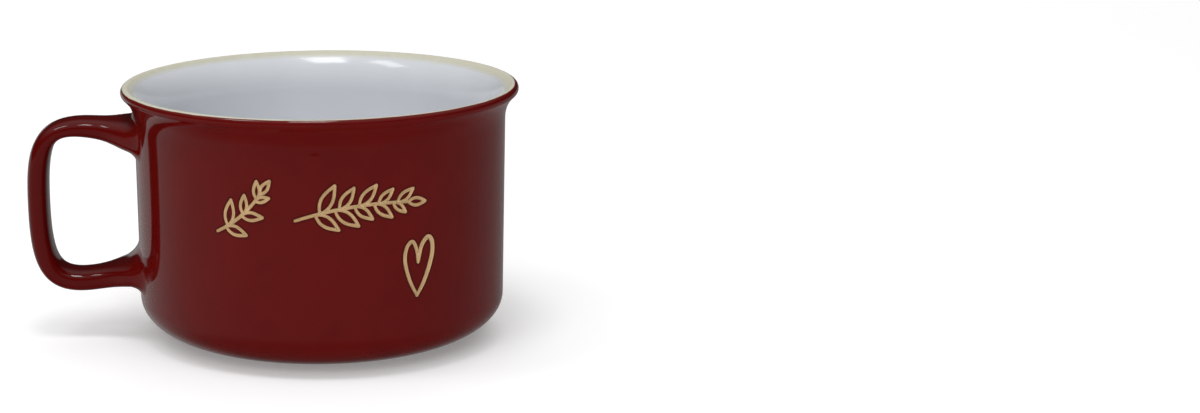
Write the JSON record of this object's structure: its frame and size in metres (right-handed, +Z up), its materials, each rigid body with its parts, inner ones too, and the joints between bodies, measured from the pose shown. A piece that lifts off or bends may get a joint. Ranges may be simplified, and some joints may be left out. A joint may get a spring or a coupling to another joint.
{
  "type": "wide stoneware mug",
  "caption": "Wide low stoneware mug with a flared rim and a strap handle, red glaze outside, white inside, a bare cream lip, and leaf sprigs and a heart in bare clay.",
  "frame": {"origin": "centre of the foot ring, on the axis of the bowl, at the height of the table", "axes": "+Z up along the axis of the bowl, the handle points to -X"},
  "size_m": [0.149, 0.12, 0.0773],
  "materials": {
    "glaze": "gloss"
  },
  "bodies": {
    "root": {"mug": "glaze"}
  },
  "joints": []
}
